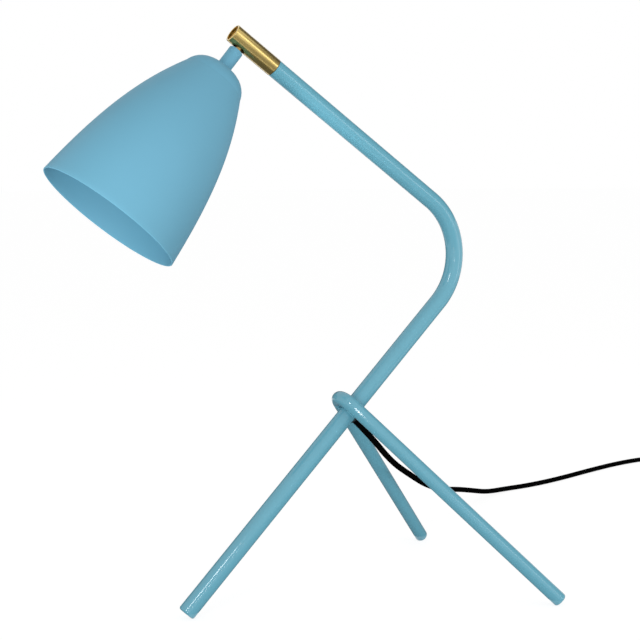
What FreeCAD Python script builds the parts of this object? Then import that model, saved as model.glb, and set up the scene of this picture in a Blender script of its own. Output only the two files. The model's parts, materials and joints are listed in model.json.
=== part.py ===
import FreeCAD, Part
import math
import os

# Tripod table lamp: one bent tube is front leg, upright and arm, a hairpin welded round it
# makes the two rear legs, and a bell shade hangs from a slotted brass sleeve on the arm.
# Millimetres, +Z up, the lamp stands on z = 0 with the middle of its footprint at the origin.
# The bent tube lies in the plane y = 0, and its front foot points to -X.

V = FreeCAD.Vector
RIGHT = V(1, 0, 0)
SIDE = V(0, 1, 0)
UP = V(0, 0, 1)


def deg(angle):
    return math.radians(angle)


# ---- Driving dimensions -------------------------------------------------------------
# bent tube
TUBE_OD = 16.0
TUBE_WALL = 1.5
LEG_SLOPE = 45.7        # front leg above the table, degrees
LEG_LENGTH = 365.0      # foot end to the start of the bend, along the axis
BEND_RADIUS = 63.0      # at the centreline
ARM_SLOPE = 35.7        # arm above the horizontal, degrees
ARM_LENGTH = 196.5      # end of the bend to the brass sleeve

# hairpin legs
HAIRPIN_OD = 13.0
HAIRPIN_WALL = 1.5
CROSSING = 233.2        # from the front foot end to the middle of the hairpin's bend
HAIRPIN_SLOPE = 48.1    # hairpin's plane below the horizontal, degrees
HAIRPIN_SPLAY = 24.6    # half of the angle between its legs, degrees
WELD_GAP = 0.15
WELD_SIZE = 4.0
WELD_DROP = 4.6         # bead's centreline below the hairpin's, along the tube
WELD_AROUND = (50, 72, 94)  # start, middle and end of a bead round the tube, degrees

# feet
PLUG_HEAD = 3.0
PLUG_SHANK = 12.0
PLUG_ROUND = 1.0
PLUG_LEAD = 1.0         # chamfer that leads the shank, or the spigot, into its tube
FOOT_FLAT = 1.0         # how deep the flat is taken off each foot's lowest corner

# cable exit
EXIT_FROM_FOOT = 228.6
EXIT_HOLE = 8.4
GROMMET_FLANGE = 0.8    # flange beyond the hole, all round
GROMMET_PROUD = 0.5     # flange above the tube
GROMMET_ROUND = 0.3
FLEX_TURN = 5.4         # radius of the flex where it turns up inside the tube

# brass sleeve and swivel
SLEEVE_OD = 16.4
SLEEVE_WALL = 1.4
SLEEVE_LENGTH = 47.7
PIVOT_FROM_END = 12.0   # ball centre from the sleeve's free end
SLEEVE_ROUND = 0.5
SPIGOT_NOSE = 16.0
SPIGOT_SHANK = 18.0
SPIGOT_BORE = 7.0
GROOVE_FROM_ARM = 7.0
GROOVE_WIDTH = 3.6
GROOVE_DEPTH = 1.4
SCREW_OD = 3.0
SCREW_SOCKET = 1.5       # across its flats, and its depth
SCREW_SUNK = 0.2         # head under the sleeve's surface
SADDLE_BORE = 9.0
SADDLE_REACH = 4.5      # from the ball centre to where each saddle starts
OUTER_SADDLE = 3.5      # length of the saddle at the open end
BALL_MOUTH = 0.6         # how much the ball's mouth widens, so that the flex passes at any tilt
RING_WIDTH = 1.0
RING_WALL = 1.8
TILT_STOP = 14.5        # neck against the slot's end, either way from square, degrees
REST_TILT = 3.9         # shade leans this far from square to the arm, degrees

# neck, stem and shade, measured along the stem from the ball centre
NECK_OD = 7.0
NECK_BORE = 5.0
NECK_START = 1.7
NECK_THREAD_IN_HOLDER = 9.0
STEM_OD = 12.8
STEM_FROM_PIVOT = 10.1
STEM_ROUND = 0.8
SHADE_FROM_PIVOT = 30.3  # the shade's flat top, where the stem ends
SHADE_HEIGHT = 161.0
SHADE_RIM_OD = 129.5
SHADE_WALL = 1.0
SHOULDER_OD = 55.6
CROWN_RISE = 13.2        # from where the side turns into the shoulder up to the flat top
SHOULDER_ROUND = 7.0
RIM_LEAN = 5.1           # side's lean at the rim, degrees
SHOULDER_LEAN = 27.6     # side's lean at the shoulder, degrees
RIM_PULL = 63.9          # how far the side holds its lean from the rim
SHOULDER_PULL = 47.0     # how far it holds its lean from the shoulder
TOP_LAND_OD = 20.0       # flat seat under the stem

# lampholder and bulb
WASHER_OD = 18.0
WASHER_THICK = 1.0
NUT_FLATS = 13.0
NUT_THICK = 3.5
NUT_BEVEL = 1.0
HOLDER_OD = 27.5
HOLDER_WALL = 1.8
HOLDER_CAP = 18.0
HOLDER_BODY = 37.0
HOLDER_STEP = 0.8        # cap's side inside the body's
HOLDER_OVERLAP = 4.0     # body's spigot inside the cap
HOLDER_HUB = 2.5         # cap's hub round the neck
HOLDER_RING = 6.0        # taper at the mouth
HOLDER_LIP = 1.6
TERMINAL_OVERLAP = 3.0   # terminal block inside the cap
TONGUE_WIDTH = 4.0
TONGUE_THICK = 0.5
BULB_OD = 45.0
BULB_LENGTH = 78.0
BULB_CAP_OD = 13.8
BULB_CAP_LENGTH = 22.0
BULB_NECK_OD = 16.0
BULB_GLASS = 0.9
BULB_THROAT = 4.0        # straight neck outside the holder
BULB_FLARE = 25.0        # lean of the glass where it meets the round end, degrees
NECK_IN_CAP = 4.0
BULB_IN_HOLDER = 27.0    # contact tip to the holder's mouth
BULB_SEAT = 3.0          # terminal block to the contact tip
BULB_CAP_WALL = 0.6
BULB_CAP_PLAY = 1.3      # between the cap and the holder's well
SCREW_SHELL = 0.95

# cord
CORD_OD = 5.8
WIRE_OD = 2.0
WIRE_SPACING = 2.4
COIL_OUTER = 37.0        # centreline radius of the outermost turn
COIL_TURNS = 2           # turns in each of the two layers
COIL_PITCH = 6.4         # between turns and between layers
COIL_FROM_SWITCH = 52.0
TIE_THICK = 0.9
TIE_WIDTH = 6.0
TIE_ROUND = 3.0
TIE_PLAY = 0.35          # between the turns and the tie

# in-line switch
SWITCH_LENGTH = 62.0
SWITCH_WIDTH = 25.0
SWITCH_BASE = 7.5
SWITCH_COVER = 8.5
SWITCH_WALL = 2.0
SWITCH_ROUND = 6.0
SWITCH_FOOT_ROUND = 1.2
SWITCH_TOP_ROUND = 3.0
ROCKER_LENGTH = 15.0
ROCKER_WIDTH = 10.0
ROCKER_RISE = 5.2        # top edges above its pin
ROCKER_DISH = 1.4
ROCKER_DEPTH = 4.5       # below its pin
ROCKER_PIN_REACH = 1.5   # beyond each side
ROCKER_DOWN = 4.0        # pin below the cover's top
ROCKER_ROOM = 3.0        # well beyond the rocker at each end
ROCKER_SWING = 8.0       # either way from level, degrees
ROCKER_PIN_OD = 2.0
SWITCH_SCREW_OD = 3.0
SWITCH_SCREW_SPACING = 40.0
SWITCH_SCREW_HEAD = 2.0  # depth of the head's recess
SWITCH_SCREW_DEPTH = 5.0 # of the hole in the cover
CORD_IN_SWITCH = 8.0

# plug
PLUG_PIN_OD = 4.0
PLUG_PIN_LENGTH = 19.0
PLUG_PIN_SPACING = 18.6
PLUG_PIN_SET = 10.0      # inside the body
PLUG_PIN_ROUND = 1.5
PLUG_WIDTH = 34.0
PLUG_TAIL = 14.0
PLUG_LENGTH = 34.0
PLUG_HEIGHT = 13.7
PLUG_GRIP = 14.0         # full width behind the pins
PLUG_CORNER = 3.0
PLUG_EDGE = 1.6
RELIEF_LENGTH = 24.0
RELIEF_WALL = 0.9        # at its thin end
RELIEF_SLOTS = 4
RELIEF_SLOT = 2.0

# fits
PRESSED = 0.05           # radial, between pieces that are pressed or screwed together
RUNNING = 0.05           # radial, between pieces that turn on each other
BALL_PLAY = 0.08
CLEAR = 0.3              # between pieces that pass each other
THREAD_ROOM = 0.2        # radial, in the holes that the neck passes through
WINDOW_GAP = 1.05        # between the rocker's ends and its window
NECK_GAP = 0.4

# ---- Places worked out from them ---------------------------------------------------
TUBE_R = TUBE_OD / 2
BORE_R = TUBE_R - TUBE_WALL
HAIRPIN_R = HAIRPIN_OD / 2
SLEEVE_R = SLEEVE_OD / 2
SLEEVE_BORE_R = SLEEVE_R - SLEEVE_WALL
CORD_R = CORD_OD / 2
RIM_R = SHADE_RIM_OD / 2
BALL_R = SLEEVE_BORE_R - BALL_PLAY
RIM_FROM_PIVOT = SHADE_FROM_PIVOT + SHADE_HEIGHT

LEG_DIR = V(math.cos(deg(LEG_SLOPE)), 0, math.sin(deg(LEG_SLOPE)))
ARM_DIR = V(-math.cos(deg(ARM_SLOPE)), 0, math.sin(deg(ARM_SLOPE)))
EXIT_DIR = V(math.sin(deg(LEG_SLOPE)), 0, -math.cos(deg(LEG_SLOPE)))
BEND_OUT = V(math.sin(deg(ARM_SLOPE)), 0, math.cos(deg(ARM_SLOPE)))
HEAD_DROP = 90 - ARM_SLOPE - REST_TILT
HEAD_DIR = V(-math.cos(deg(HEAD_DROP)), 0, -math.sin(deg(HEAD_DROP)))
HAIRPIN_DIR = V(math.cos(deg(HAIRPIN_SLOPE)), 0, -math.sin(deg(HAIRPIN_SLOPE)))


def hairpin_leg_dir(side):
    along = HAIRPIN_DIR * math.cos(deg(HAIRPIN_SPLAY))
    return along + SIDE * (side * math.sin(deg(HAIRPIN_SPLAY)))


def end_height(radius, direction):
    """Height of the middle of a leg's end face, with the flat taken off its lowest corner."""
    return radius * math.sqrt(1 - direction.z ** 2) - FOOT_FLAT


HAIRPIN_BEND = TUBE_R + HAIRPIN_R + WELD_GAP


def lamp_points(front_x):
    """The lamp's main points for a front foot at front_x."""
    p = {}
    p["foot"] = V(front_x, 0, end_height(TUBE_R, LEG_DIR))
    p["bend_start"] = p["foot"] + LEG_DIR * LEG_LENGTH
    p["bend_centre"] = p["bend_start"] - EXIT_DIR * BEND_RADIUS
    p["bend_end"] = p["bend_centre"] + BEND_OUT * BEND_RADIUS
    p["arm_end"] = p["bend_end"] + ARM_DIR * ARM_LENGTH
    p["pivot"] = p["arm_end"] + ARM_DIR * (SLEEVE_LENGTH - PIVOT_FROM_END)
    p["rim"] = p["pivot"] + HEAD_DIR * RIM_FROM_PIVOT
    p["crossing"] = p["foot"] + LEG_DIR * CROSSING
    p["exit"] = p["foot"] + LEG_DIR * EXIT_FROM_FOOT
    leg = hairpin_leg_dir(1)
    start = p["crossing"] + SIDE * (HAIRPIN_BEND / math.cos(deg(HAIRPIN_SPLAY)))
    reach = (start.z - end_height(HAIRPIN_R, leg)) / -leg.z
    p["rear_foot"] = start + leg * reach
    return p


def footprint_middle(p):
    """Half way between the shade's rim and the rear feet, along X."""
    leg = hairpin_leg_dir(1)
    front = p["rim"].x - RIM_R * math.sin(deg(HEAD_DROP))
    edge = (HAIRPIN_R - PLUG_ROUND) * math.sqrt(1 - leg.x ** 2) + PLUG_ROUND
    back = p["rear_foot"].x - PLUG_ROUND * leg.x + edge
    return (front + back) / 2


AT = lamp_points(-footprint_middle(lamp_points(0)))
PIVOT = AT["pivot"]

# along the stem
WASHER_START = SHADE_FROM_PIVOT + SHADE_WALL
NUT_START = WASHER_START + WASHER_THICK
HOLDER_START = NUT_START + NUT_THICK
HOLDER_MOUTH = HOLDER_START + HOLDER_CAP + HOLDER_BODY
NECK_END = HOLDER_START + NECK_THREAD_IN_HOLDER
BULB_START = HOLDER_MOUTH - BULB_IN_HOLDER

# cord route, chosen to follow the photographed line; the first two points come from the exit
CORD_Z = CORD_R + 0.05
CORD_EXIT = AT["exit"] + EXIT_DIR * (TUBE_R + GROMMET_PROUD)
SWITCH_Z = SWITCH_BASE
CORD_FREE = [
    CORD_EXIT,
    CORD_EXIT + EXIT_DIR * 24,
    V(113, 16, 114.5),
    V(153, 48, 91),
    V(201, 92, 65),
    V(250, 137, 46),
    V(299, 181, 31),
    V(343, 218, 16.5),
    V(378, 241, 6),
    V(413, 254, CORD_Z),
    V(453, 256, CORD_Z),
    V(505, 267, CORD_Z),
    V(567, 286, CORD_Z),
    V(627, 302, CORD_Z),
    V(677, 308, CORD_Z),
    V(710, 301, CORD_Z),
    V(731, 278, CORD_Z + 1),
    V(735, 250, SWITCH_Z),
    V(732, 222, SWITCH_Z),
]


def level(way):
    """The direction of a vector as seen from above."""
    return V(way.x, way.y, 0).normalize()


SWITCH_DIR = level(CORD_FREE[-1] - CORD_FREE[-2])
SWITCH_IN = CORD_FREE[-1]
SWITCH_OUT = SWITCH_IN + SWITCH_DIR * (SWITCH_LENGTH - 2 * CORD_IN_SWITCH)
COIL_SIDE = V(SWITCH_DIR.y, -SWITCH_DIR.x, 0)
COIL_Z = CORD_Z + TIE_THICK
COIL_START = SWITCH_OUT + SWITCH_DIR * COIL_FROM_SWITCH + UP * (COIL_Z - SWITCH_Z)
COIL_CENTRE = COIL_START + COIL_SIDE * COIL_OUTER
COIL_LAYER = COIL_Z + COIL_PITCH
COIL_INNER = COIL_OUTER - COIL_PITCH * COIL_TURNS
PLUG_Z = PLUG_HEIGHT / 2


def ahead(distance, height, aside=0.0):
    """A point past the coil's start, along the way the cord is heading there."""
    p = COIL_START + SWITCH_DIR * distance - COIL_SIDE * aside
    return V(p.x, p.y, height)


CORD_MID = [
    SWITCH_OUT,
    SWITCH_OUT + SWITCH_DIR * 18,
    ahead(-18, COIL_Z),
    ahead(-CORD_OD, COIL_Z),
]
CORD_TAIL = [
    ahead(CORD_OD, COIL_LAYER),
    ahead(20, COIL_LAYER),
    ahead(40, CORD_Z + 1.5, 1),
    ahead(64, CORD_Z, 4),
    ahead(86, PLUG_Z, 6),
    ahead(108, PLUG_Z, 6),
]
PLUG_DIR = level(CORD_TAIL[-1] - CORD_TAIL[-2])
RELIEF_START = CORD_TAIL[-1]


# ---- Helpers -------------------------------------------------------------------------
def cylinder(radius, start, end):
    axis = end - start
    return Part.makeCylinder(radius, axis.Length, start, axis)


def ring(outer, inner, start, end):
    """A plain bush of two radii, from start to end along Z."""
    body = Part.makeCylinder(outer, end - start, UP * start)
    return body.cut(Part.makeCylinder(inner, end - start, UP * start))


def turned(*outline):
    """A solid of revolution about Z from corners (radius, z)."""
    corners = [V(r, 0, z) for r, z in outline]
    face = Part.Face(Part.makePolygon(corners + corners[:1]))
    return face.revolve(V(), UP, 360)


def revolved(edges):
    """A solid of revolution about Z from edges that close an outline at y = 0."""
    return Part.Face(Part.Wire(edges)).revolve(V(), UP, 360)


def line(a, b):
    return Part.LineSegment(a, b).toShape()


def arc(a, middle, b):
    return Part.Arc(a, middle, b).toShape()


def placed(shape, origin, z_axis, x_axis):
    """The shape moved from its own axes to origin, with Z along z_axis and X along x_axis."""
    turn = FreeCAD.Rotation(x_axis, z_axis.cross(x_axis), z_axis, "ZXY")
    moved = shape.copy()
    moved.Placement = FreeCAD.Placement(origin, turn).multiply(shape.Placement)
    return moved


def rounded(solid, radius, wanted):
    """The solid with those of its edges filleted that wanted(edge) picks."""
    return solid.makeFillet(radius, [e for e in solid.Edges if wanted(e)])


def circle_at(z, radius):
    """Picks the circular edge at height z with that radius."""
    def test(edge):
        round_edge = isinstance(edge.Curve, Part.Circle)
        return (round_edge and abs(edge.Curve.Center.z - z) < 1e-6
                and abs(edge.Curve.Radius - radius) < 1e-6)
    return test


def swept(wire, radius):
    """A round bar along a wire."""
    start = wire.OrderedEdges[0]
    first = start.FirstParameter
    point, heading = start.valueAt(first), start.tangentAt(first)
    profile = Part.Wire(Part.makeCircle(radius, point, heading))
    return wire.makePipeShell([profile], True, False)


def turn_arc(corner, a, b):
    """The arc tangent to corner-a and corner-b at a and b, which lie as far from the corner."""
    half_chord = (b - a).Length / 2
    cosine = half_chord / (corner - a).Length
    weight = cosine / (1 + cosine)
    return arc(a, (a + b) * ((1 - weight) / 2) + corner * weight, b)


def route_wire(points, name):
    """Straight runs joined by tangent arcs, each as large as its two runs allow."""
    edges, radii, here = [], [], points[0]
    for before, corner, after in zip(points, points[1:], points[2:]):
        back, on = before - corner, after - corner
        reach = 0.45 * min(back.Length, on.Length)
        half_turn = (math.pi - back.getAngle(on)) / 2
        radii.append(reach / math.tan(half_turn))
        a, b = corner + back.normalize() * reach, corner + on.normalize() * reach
        edges += [line(here, a), turn_arc(corner, a, b)]
        here = b
    wire = Part.Wire(edges + [line(here, points[-1])])
    print(name, "length", round(wire.Length, 1), "radii", [round(r) for r in radii])
    return wire


def cord_tube(points, name):
    """A plain round cord along a route, its volume compared with section times length."""
    wire = route_wire(points, name)
    tube = swept(wire, CORD_R)
    ratio = tube.Volume / (math.pi * CORD_R ** 2 * wire.Length)
    print(name, "volume over section times length", round(ratio, 4))
    return tube


# ---- Stand ----------------------------------------------------------------------------
def main_path(start, end):
    middle = (BEND_OUT + EXIT_DIR).normalize()
    bend = arc(AT["bend_start"], AT["bend_centre"] + middle * BEND_RADIUS, AT["bend_end"])
    return Part.Wire([line(start, AT["bend_start"]), bend, line(AT["bend_end"], end)])


def main_tube():
    path = main_path(AT["foot"] + LEG_DIR * PLUG_HEAD, AT["arm_end"])
    tube = swept(path, TUBE_R).cut(swept(path, BORE_R))
    hole = cylinder(EXIT_HOLE / 2, AT["exit"], AT["exit"] + EXIT_DIR * TUBE_OD)
    return tube.cut(hole)


def hairpin_path():
    reach = HAIRPIN_BEND * math.cos(deg(HAIRPIN_SPLAY))
    drop = HAIRPIN_BEND * math.sin(deg(HAIRPIN_SPLAY))
    ends, tangents = [], []
    for side in (-1, 1):
        foot = V(AT["rear_foot"].x, side * AT["rear_foot"].y, AT["rear_foot"].z)
        ends.append(foot - hairpin_leg_dir(side) * PLUG_HEAD)
        tangents.append(AT["crossing"] + SIDE * (side * reach) - HAIRPIN_DIR * drop)
    top = AT["crossing"] - HAIRPIN_DIR * HAIRPIN_BEND
    bend = arc(tangents[0], top, tangents[1])
    return Part.Wire([line(ends[0], tangents[0]), bend, line(tangents[1], ends[1])])


def leg_hairpin():
    path = hairpin_path()
    return swept(path, HAIRPIN_R).cut(swept(path, HAIRPIN_R - HAIRPIN_WALL))


def weld_beads():
    """Two short fillets of weld in the notch between the bent tube and the hairpin."""
    centre = AT["crossing"] - LEG_DIR * WELD_DROP
    radius = TUBE_R + WELD_SIZE / 2
    along = LEG_DIR * TUBE_OD
    tube = cylinder(TUBE_R, AT["crossing"] - along, AT["crossing"] + along)
    hairpin = swept(hairpin_path(), HAIRPIN_R)
    beads = []
    for side in (-1, 1):
        places = [centre - HAIRPIN_DIR * (radius * math.cos(deg(around)))
                  + SIDE * (side * radius * math.sin(deg(around))) for around in WELD_AROUND]
        bead = swept(Part.Wire([arc(*places)]), WELD_SIZE / 2)
        beads.append(bead.cut(tube).cut(hairpin))
    return Part.makeCompound(beads)


def foot_plug(foot, leg_up, outer, bore):
    """Plug with a rounded head the width of its tube and a flat where it stands."""
    shank = bore - PRESSED
    top = PLUG_HEAD + PLUG_SHANK
    body = turned((0, 0), (outer, 0), (outer, PLUG_HEAD), (shank, PLUG_HEAD),
                  (shank, top - PLUG_LEAD), (shank - PLUG_LEAD, top), (0, top))
    body = rounded(body, PLUG_ROUND, circle_at(0, outer))
    body = placed(body, foot, leg_up, leg_up.cross(SIDE).normalize())
    below = Part.makeBox(4 * outer, 4 * outer, 2 * outer,
                         V(foot.x - 2 * outer, foot.y - 2 * outer, -2 * outer))
    return body.cut(below)


def rear_plug(side):
    foot = V(AT["rear_foot"].x, side * AT["rear_foot"].y, AT["rear_foot"].z)
    return foot_plug(foot, -hairpin_leg_dir(side), HAIRPIN_R, HAIRPIN_R - HAIRPIN_WALL)


def cable_grommet():
    """Rubber bush in the exit hole, its flange shaped to the tube."""
    neck = EXIT_HOLE / 2 - PRESSED
    top = TUBE_R + GROMMET_PROUD
    flange_r = EXIT_HOLE / 2 + GROMMET_FLANGE
    flange = rounded(Part.makeCylinder(flange_r, top, V()), GROMMET_ROUND,
                     circle_at(top, flange_r))
    flange = placed(flange, AT["exit"], EXIT_DIR, LEG_DIR)
    along = LEG_DIR * TUBE_OD
    flange = flange.cut(cylinder(TUBE_R + PRESSED, AT["exit"] - along, AT["exit"] + along))
    bush = cylinder(neck, AT["exit"] + EXIT_DIR * (BORE_R - 1), AT["exit"] + EXIT_DIR * top)
    bore = cylinder(CORD_R + PRESSED, AT["exit"], AT["exit"] + EXIT_DIR * TUBE_OD)
    return flange.fuse(bush).cut(bore).removeSplitter()


def inner_flex():
    """The flex inside: through the grommet, up the tube and round the bend to the spigot."""
    corner = AT["exit"]
    a, b = corner + EXIT_DIR * FLEX_TURN, corner + LEG_DIR * FLEX_TURN
    rest = main_path(b, AT["arm_end"] + ARM_DIR * SPIGOT_NOSE)
    wire = Part.Wire([line(CORD_EXIT, a), turn_arc(corner, a, b)] + rest.Edges)
    return swept(wire, CORD_R)


def arm_spigot():
    """Turned plug pressed in the arm's end; the sleeve turns on its grooved nose."""
    shank, nose = BORE_R - PRESSED, SLEEVE_BORE_R - RUNNING
    groove = nose - GROOVE_DEPTH
    bore = SPIGOT_BORE / 2
    after = GROOVE_FROM_ARM + GROOVE_WIDTH
    body = turned((bore, -SPIGOT_SHANK), (shank - PLUG_LEAD, -SPIGOT_SHANK),
                  (shank, PLUG_LEAD - SPIGOT_SHANK), (shank, 0), (nose, 0),
                  (nose, GROOVE_FROM_ARM), (groove, GROOVE_FROM_ARM), (groove, after),
                  (nose, after), (nose, SPIGOT_NOSE - PLUG_LEAD),
                  (nose - PLUG_LEAD, SPIGOT_NOSE), (bore, SPIGOT_NOSE))
    return placed(body, AT["arm_end"], ARM_DIR, SIDE)


# ---- Brass sleeve and what it holds -----------------------------------------------------
# Own axes: Z along the arm from the ball centre to the open end, X down towards the stem.
SLOT_SIDE = SIDE.cross(ARM_DIR).normalize()
SLOT_SIDE = SLOT_SIDE if SLOT_SIDE.z < 0 else -SLOT_SIDE
SLEEVE_BACK = PIVOT_FROM_END - SLEEVE_LENGTH
SLOT_R = NECK_OD / 2 + NECK_GAP
SLOT_TRAVEL = SLEEVE_R * math.tan(deg(TILT_STOP))
SCREW_Z = SLEEVE_BACK + GROOVE_FROM_ARM + GROOVE_WIDTH / 2


def in_sleeve(shape):
    return placed(shape, PIVOT, ARM_DIR, SLOT_SIDE)


def slot_cutter():
    """The neck's slot: a round-ended bar from the ball centre out through the wall."""
    depth = SLEEVE_OD
    ends = [Part.makeCylinder(SLOT_R, depth, V(0, 0, z), RIGHT)
            for z in (-SLOT_TRAVEL, SLOT_TRAVEL)]
    bar = Part.makeBox(depth, 2 * SLOT_R, 2 * SLOT_TRAVEL, V(0, -SLOT_R, -SLOT_TRAVEL))
    return bar.fuse(ends).removeSplitter()


def brass_sleeve():
    back = SLEEVE_BACK + CLEAR
    body = Part.makeCylinder(SLEEVE_R, PIVOT_FROM_END - back, UP * back)
    for z in (back, PIVOT_FROM_END):
        body = rounded(body, SLEEVE_ROUND, circle_at(z, SLEEVE_R))
    body = body.cut(Part.makeCylinder(SLEEVE_BORE_R, SLEEVE_LENGTH, UP * back))
    body = body.cut(slot_cutter())
    hole = Part.makeCylinder(SCREW_OD / 2 + PRESSED, SLEEVE_OD, UP * SCREW_Z, -SIDE)
    return in_sleeve(body.cut(hole))


def sleeve_screw():
    """Grub screw on the far side, with a hexagon socket and its tip in the spigot's groove."""
    tip = SLEEVE_BORE_R - RUNNING - GROOVE_DEPTH + CLEAR
    head = SLEEVE_R - SCREW_SUNK
    radius = SCREW_OD / 2
    point = radius / 4
    body = turned((0, tip), (radius - point, tip), (radius, tip + point), (radius, head),
                  (0, head))
    socket = hexagon(SCREW_SOCKET, head - SCREW_SOCKET, head)
    body = placed(body.cut(socket), UP * SCREW_Z, -SIDE, RIGHT)
    return in_sleeve(body)


def hexagon(flats, start, end):
    """A hexagonal bar along Z, measured across its flats."""
    corner = flats / math.sqrt(3)
    corners = [V(corner * math.cos(deg(a)), corner * math.sin(deg(a)), start)
               for a in range(0, 361, 60)]
    return Part.Face(Part.makePolygon(corners)).extrude(UP * (end - start))


def saddle(near, far):
    """Half of the ball's seat: a bronze bush cut round the ball and notched for the neck."""
    low, high = min(near, far), max(near, far)
    body = ring(SLEEVE_BORE_R - PRESSED, SADDLE_BORE / 2, low, high)
    body = body.cut(Part.makeSphere(BALL_R + BALL_PLAY))
    return in_sleeve(body.cut(slot_cutter()))


def saddle_inner():
    return saddle(-SADDLE_REACH, SLEEVE_BACK + SPIGOT_NOSE + CLEAR)


def saddle_outer():
    return saddle(SADDLE_REACH, SADDLE_REACH + OUTER_SADDLE)


def retaining_ring():
    start = SADDLE_REACH + OUTER_SADDLE
    outer = SLEEVE_BORE_R - PRESSED
    return in_sleeve(ring(outer, outer - RING_WALL, start, start + RING_WIDTH))


# ---- Head: ball, neck, stem, shade, lampholder, bulb --------------------------------------
# Own axes: Z along the stem from the ball centre to the shade's rim.
HEAD_X = SIDE.cross(HEAD_DIR).normalize()


def in_head(shape):
    return placed(shape, PIVOT, HEAD_DIR, HEAD_X)


def swivel_ball():
    """Ball with a socket for the neck and a mouth for the flex, which comes down the arm."""
    ball = Part.makeSphere(BALL_R)
    ball = ball.cut(Part.makeCylinder(NECK_OD / 2 + PRESSED, BALL_R, UP * NECK_START))
    cavity = SPIGOT_BORE / 2
    ball = in_head(ball.cut(Part.makeSphere(cavity)))
    return ball.cut(Part.makeCone(cavity, cavity + BALL_MOUTH, BALL_R, PIVOT, -ARM_DIR))


def threaded_neck():
    return in_head(ring(NECK_OD / 2, NECK_BORE / 2, NECK_START, NECK_END))


def shade_stem():
    outer = STEM_OD / 2
    body = Part.makeCylinder(outer, SHADE_FROM_PIVOT - STEM_FROM_PIVOT, UP * STEM_FROM_PIVOT)
    body = rounded(body, STEM_ROUND, circle_at(STEM_FROM_PIVOT, outer))
    hole = Part.makeCylinder(NECK_OD / 2 + PRESSED, SHADE_FROM_PIVOT, V())
    return in_head(body.cut(hole))


def shade_form(inset):
    """The closed bell above its rim: side, rounded shoulder, shallow crown and flat land.

    The side is an easy curve with its lean set at both ends. All of it is inset by the wall
    for the inside, about the same centres.
    """
    lean, top_lean = deg(RIM_LEAN), deg(SHOULDER_LEAN)
    rim = V(RIM_R - inset, 0, 0)
    outward = V(math.cos(top_lean), 0, math.sin(top_lean))
    round_centre = V(SHOULDER_OD / 2, 0, SHADE_HEIGHT - CROWN_RISE) - outward * SHOULDER_ROUND
    shoulder = round_centre + outward * (SHOULDER_ROUND - inset)
    low = rim + V(-math.sin(lean), 0, math.cos(lean)) * RIM_PULL
    high = shoulder + V(math.sin(top_lean), 0, -math.cos(top_lean)) * SHOULDER_PULL
    side = Part.BezierCurve()
    side.setPoles([rim, low, high, shoulder])

    reach = round_centre.x - TOP_LAND_OD / 2
    drop = SHADE_HEIGHT - round_centre.z
    crown_r = (reach ** 2 + drop ** 2 - SHOULDER_ROUND ** 2) / (2 * (drop - SHOULDER_ROUND))
    crown_centre = V(TOP_LAND_OD / 2, 0, SHADE_HEIGHT - crown_r)
    meet = (round_centre - crown_centre).normalize()
    rounding = arc(shoulder, round_centre + (outward + meet).normalize() * (SHOULDER_ROUND - inset),
                   round_centre + meet * (SHOULDER_ROUND - inset))
    top = crown_centre + UP * (crown_r - inset)
    crown = arc(round_centre + meet * (SHOULDER_ROUND - inset),
                crown_centre + (meet + UP).normalize() * (crown_r - inset), top)
    axis_top, axis_low = V(0, 0, top.z), V()
    return revolved([side.toShape(), rounding, crown, line(top, axis_top),
                     line(axis_top, axis_low), line(axis_low, rim)])


def shade():
    outside = shade_form(0)
    inside = shade_form(SHADE_WALL)
    shell = outside.cut(inside)
    shell = shell.cut(Part.makeCylinder(NECK_OD / 2 + THREAD_ROOM, SHADE_HEIGHT * 2, V()))
    return in_head(placed(shell, UP * RIM_FROM_PIVOT, -UP, RIGHT))


def shade_washer():
    return in_head(ring(WASHER_OD / 2, NECK_OD / 2 + THREAD_ROOM, WASHER_START, NUT_START))


def shade_nut():
    body = hexagon(NUT_FLATS, NUT_START, HOLDER_START)
    corner = NUT_FLATS / math.sqrt(3)
    bevel = turned((0, NUT_START), (corner, NUT_START), (corner, HOLDER_START - NUT_BEVEL),
                   (corner - NUT_BEVEL, HOLDER_START), (0, HOLDER_START))
    bore = Part.makeCylinder(NECK_OD / 2 + PRESSED, HOLDER_START, UP * NUT_START)
    return in_head(body.common(bevel).cut(bore))


def holder_cap():
    """Domed upper half of the lampholder, screwed on the neck."""
    outer = HOLDER_OD / 2 - HOLDER_STEP
    inner = outer - HOLDER_WALL
    start, end = HOLDER_START, HOLDER_START + HOLDER_CAP
    hub = NECK_OD / 2 + HOLDER_HUB
    body = turned((0, start), (hub, start), (hub + 1, start + 2), (outer - 2.2, start + 4),
                  (outer, start + 8), (outer, end), (inner, end), (inner, start + 9),
                  (inner - 2.2, start + 4 + HOLDER_WALL), (hub, start + 4 + HOLDER_WALL),
                  (hub, NECK_END), (0, NECK_END))
    bore = Part.makeCylinder(NECK_OD / 2 + PRESSED, end, UP * start)
    return in_head(body.cut(bore))


def holder_spigot():
    """Outer and inner radius of the body's upper end, which sits inside the cap."""
    outer = HOLDER_OD / 2 - HOLDER_STEP - HOLDER_WALL - PRESSED
    return outer, outer - HOLDER_WALL + PRESSED


def holder_body():
    """Lower half with the bulb's well, tapered to a lip at its mouth."""
    outer = HOLDER_OD / 2
    lip = outer - HOLDER_LIP
    spigot, bore = holder_spigot()
    start, mouth = HOLDER_START + HOLDER_CAP, HOLDER_MOUTH
    seat = BULB_START - BULB_SEAT
    well = BULB_CAP_OD / 2 + BULB_CAP_PLAY
    body = turned((spigot, start - HOLDER_OVERLAP), (spigot, start), (outer, start),
                  (outer, mouth - HOLDER_RING), (lip, mouth - HOLDER_RING / 3), (lip, mouth),
                  (well, mouth), (well, seat), (bore, seat), (bore, start - HOLDER_OVERLAP))
    return in_head(body)


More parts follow.
